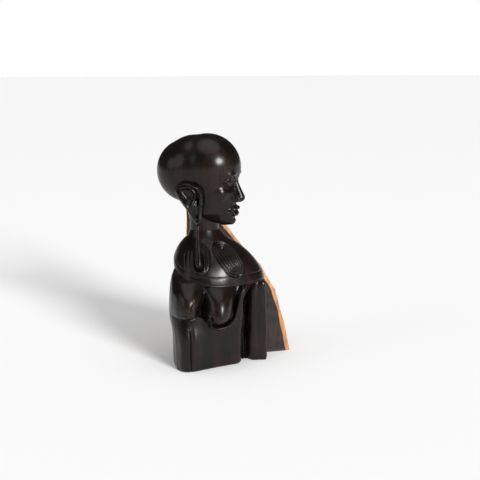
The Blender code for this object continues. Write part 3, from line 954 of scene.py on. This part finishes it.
# ---------------------------------------------------------------------------------------
# The ears. Each is cut in low relief on the side of the skull: a rolled rim, a bowl, and a
# stretched lobe that narrows like a flap to a small pierced eye, from which the drop hangs.
# ---------------------------------------------------------------------------------------
ear_levels = np.array([-47.0, -44.7, -36.8, -28.1, -21.1, -14.0, -9.2, -6.9, -3.4, -0.6, 0.9])
ear_back = np.array([3.6, 2.0, -1.8, -5.5, -10.3, -15.5, -17.3, -17.6, -16.0, -12.6, -7.0])
ear_front = np.array([5.4, 6.8, 9.3, 11.0, 12.2, 12.2, 11.6, 10.8, 7.4, 2.0, -4.0])
ear_out = 33.0
lobe_thick = 2.6


def ear_relief(f, u, inside):
    """How far the ear stands out at each place: f is forward, u up, inside from its edge."""
    def ridge(path, wide, high):
        flat = np.column_stack([f, u, np.zeros_like(f)])
        gap, share = near_path(flat, [(a, b, 0.0) for a, b in path])
        return high * np.exp(-(gap / wide) ** 2)

    rolled = 1.0 - smooth_step(f, 3.0, 9.0) * smooth_step(u, -30.0, -24.0) * smooth_step(-u, 3.0, 9.0)
    rim = 1.9 * np.exp(-((inside - 1.9) / 1.25) ** 2) * rolled
    bowl = -4.2 * smooth_step(inside, 2.4, 6.2) * smooth_step(u, -27.0, -16.0)
    fold_path = [(-11.5, -6.5), (-4.2, -4.9), (0.6, -7.0), (3.6, -10.8), (3.4, -16.0), (1.0, -22.0)]
    fold = ridge(fold_path, 1.35, 2.2)
    cup = ridge([(-7.5, -9.5), (-4.0, -14.0)], 4.2, -1.6)
    flap = ridge([(8.6, -7.4), (9.6, -10.8)], 1.7, 2.4) + ridge([(9.8, -15.0), (9.6, -22.5)], 1.6, 2.6)
    slit = ridge([(7.0, -17.5), (6.4, -26.0)], 0.95, -2.6)
    fall = ridge([(3.0, -28.0), (3.8, -33.0)], 2.2, -1.1)
    around_eye = np.hypot(f - 5.6, (u + 36.6) / 1.3)
    eye = 1.0 * np.exp(-((around_eye - 2.3) / 0.8) ** 2) - 1.6 * np.exp(-(around_eye / 1.2) ** 2)
    edge = -2.4 * (1 - np.sqrt(1 - np.clip(1 - inside / 1.9, 0, 1) ** 2))
    return rim + bowl + fold + cup + flap + slit + fall + eye + edge


def carve_ear(name, side, lobe_end):
    """side is -1 for the right ear and 1 for the left; lobe_end is in the head's directions."""
    rim_levels = np.concatenate([ear_levels[0] + 0.02 + 2.0 * (1 - np.cos(np.linspace(0, math.pi / 2, 8)))[:-1], np.linspace(-45.0, -1.0, 150), 0.9 - 1.9 * (1 - np.sin(np.linspace(0.05, math.pi / 2, 12)))])
    fine = np.linspace(ear_levels[0], ear_levels[-1], 160)
    outline = np.concatenate([
        np.column_stack([evened(fine, ear_levels, ear_back, 0.6), fine, np.zeros(160)]),
        np.column_stack([evened(fine, ear_levels, ear_front, 0.6), fine, np.zeros(160)])[::-1],
    ])
    outline = np.concatenate([outline, outline[:1]])
    rings = []
    for u in rim_levels:
        back, front = evened(u, ear_levels, ear_back, 0.6), evened(u, ear_levels, ear_front, 0.6)
        across = (1 - np.cos(np.linspace(0, math.pi, 84))) / 2
        f = back + (front - back) * across
        inside, share = near_path(np.column_stack([f, np.full_like(f, u), np.zeros_like(f)]), outline)
        lift = ear_relief(f, np.full_like(f, u), inside)
        flare = 2.2 * smooth_step(-f, -4.0, 15.0)
        hang = smooth_step(-u, 22.0, 46.0)
        sunk = -3.0 * smooth_step(f, 0.0, 12.0) * (1 - hang)
        out = ear_out + (lobe_end[1] - ear_out) * hang + lift + flare * (1 - hang) + sunk
        under = np.where(u > -24.0, -9.0, 0.0) * smooth_step(u, -27.0, -20.0) - lobe_thick
        shift = (lobe_end[0] - 4.4) * hang
        low = u + (lobe_end[2] + 47.0) * hang
        outer = np.array([from_head(a + shift, side * b, low) for a, b in zip(f, out)])
        inner_f = f[::-1][3:-3:4]
        inner_out = np.full_like(inner_f, ear_out + (lobe_end[1] - ear_out) * hang + under)
        inner = np.array([from_head(a + shift, side * b, low) for a, b in zip(inner_f, inner_out)])
        rings.append(np.concatenate([outer, inner]))
    ear = skin(name, rings)
    only(ear)
    soft = ear.modifiers.new("soften", "SMOOTH")
    soft.factor = 0.4
    soft.iterations = 3
    bpy.ops.object.modifier_apply(modifier=soft.name)
    return ear


right_lobe_end = (4.4, 25.4, -47.0)
left_lobe_end = (-6.5, 38.0, -43.0)
ears = (
    (carve_ear("right_ear_carving", -1, right_lobe_end), "right_ear"),
    (carve_ear("left_ear_carving", 1, left_lobe_end), "left_ear"),
)
for ear, node in ears:
    smooth_shade(ear, 80)
    ear.data.materials.append(polished_blackwood)
    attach(ear, "root")
    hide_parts(node)

# ---------------------------------------------------------------------------------------
# The ear drops. Each is a long club: a small bead under the lobe's eye, then a thin shank
# that swells to a round end. The right one lies in its channel in the collar.
# ---------------------------------------------------------------------------------------


def carve_drop(name, top, end, share_thin):
    """A club along a straight line: share_thin is how far down the thin shank goes."""
    top, end = np.asarray(top, float), np.asarray(end, float)
    end_wide, end_share = 3.6, 0.9
    toe = np.sin(np.linspace(0.03, 1, 24) * math.pi / 2)
    shares = np.concatenate([np.linspace(0, end_share, 90), end_share + (1 - end_share) * toe])
    places = [0, 0.02, 0.05, 0.085, 0.11, share_thin, 0.6, 0.8, end_share]
    wide = np.interp(shares, places, [0.8, 1.7, 2.1, 1.8, 1.5, 1.8, 2.7, 3.4, end_wide])
    round_end = np.clip((shares - end_share) / (1 - end_share), 0, 1)
    wide = np.where(shares > end_share, end_wide * np.sqrt(np.clip(1 - round_end ** 2, 0.002, 1)), wide)
    way = (end - top) / np.linalg.norm(end - top)
    across = np.cross(way, (0.0, 1.0, 0.0))
    across /= np.linalg.norm(across)
    beside = np.cross(way, across)
    turn = np.linspace(0, math.tau, 40, endpoint=False)
    circle = np.cos(turn)[:, None] * across + np.sin(turn)[:, None] * beside
    rings = [top + (end - top) * share + radius * circle for share, radius in zip(shares, wide)]
    drop = skin(name, rings)
    smooth_shade(drop, 80)
    drop.data.materials.append(polished_blackwood)
    return drop


left_drop_top = from_head(left_lobe_end[0], left_lobe_end[1] - 1.2, left_lobe_end[2] + 1.6)
left_drop_end = left_drop_top + (2.4, 0.5, -37.0)
drops = (
    (carve_drop("right_ear_drop_carving", drop_top, drop_end, 0.35), "right_ear_drop"),
    (carve_drop("left_ear_drop_carving", left_drop_top, left_drop_end, 0.3), "left_ear_drop"),
)
for drop, node in drops:
    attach(drop, "root")
    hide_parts(node)

# ---------------------------------------------------------------------------------------
# The table it stands on, the soft lights, and the camera a little to her right and above.
# ---------------------------------------------------------------------------------------
deselect()
bpy.ops.mesh.primitive_plane_add(size=40.0, location=(0, 0, 0))
table = bpy.context.object
table.name = "table_top"
pale, pale_nodes, pale_links = new_material("pale_table")
pale_nodes["Principled BSDF"].inputs["Base Color"].default_value = (0.93, 0.93, 0.93, 1.0)
pale_nodes["Principled BSDF"].inputs["Roughness"].default_value = 0.85
table.data.materials.append(pale)

world = bpy.data.worlds.new("studio")
bpy.context.scene.world = world
world.use_nodes = True
backdrop = world.node_tree.nodes["Background"]
backdrop.inputs["Color"].default_value = (1.0, 1.0, 1.0, 1.0)
dim_room = 0.06
seen_backdrop = 1.0
soft_fill = 0.25
world_nodes, world_links = world.node_tree.nodes, world.node_tree.links
sight = world_nodes.new("ShaderNodeLightPath")
fill = spread(world_nodes, world_links, sight.outputs["Is Diffuse Ray"], 0.0, 1.0, dim_room, soft_fill)
strength = world_nodes.new("ShaderNodeMapRange")
strength.inputs["To Max"].default_value = seen_backdrop
world_links.new(sight.outputs["Is Camera Ray"], strength.inputs["Value"])
world_links.new(fill, strength.inputs["To Min"])
world_links.new(strength.outputs["Result"], backdrop.inputs["Strength"])


def out_from_bust(turn, rise):
    """The direction out from the bust: turn degrees to her left of in front, rise above level."""
    turn, rise = math.radians(turn), math.radians(rise)
    level = math.cos(rise)
    return Vector((math.sin(turn) * level, -math.cos(turn) * level, math.sin(rise)))


def sun_lamp(name, turn, rise, wide, strength):
    """A large soft source far off, wide degrees across."""
    light = bpy.data.lights.new(name, "SUN")
    light.angle = math.radians(wide)
    light.energy = strength
    holder = bpy.data.objects.new(name, light)
    bpy.context.scene.collection.objects.link(holder)
    holder.rotation_euler = out_from_bust(turn, rise).to_track_quat("Z", "Y").to_euler()


sun_lamp("window", 22.0, 20.0, 18.0, 3.9)
sun_lamp("overhead", -20.0, 78.0, 60.0, 1.1)
sun_lamp("side_card", -80.0, 20.0, 34.0, 0.35)

camera_turn, camera_rise = -15, 12
camera_away = 0.9
camera_target = Vector((0.0343, -0.0092, 0.1354))
away = out_from_bust(camera_turn, camera_rise)
camera_data = bpy.data.cameras.new("camera")
camera_data.lens = 62.4
camera_data.sensor_width = 36.0
camera = bpy.data.objects.new("camera", camera_data)
bpy.context.scene.collection.objects.link(camera)
camera.location = camera_target + away * camera_away
camera.rotation_euler = (-away).to_track_quat("-Z", "Y").to_euler()
bpy.context.scene.camera = camera
bpy.context.scene.view_settings.view_transform = "Standard"
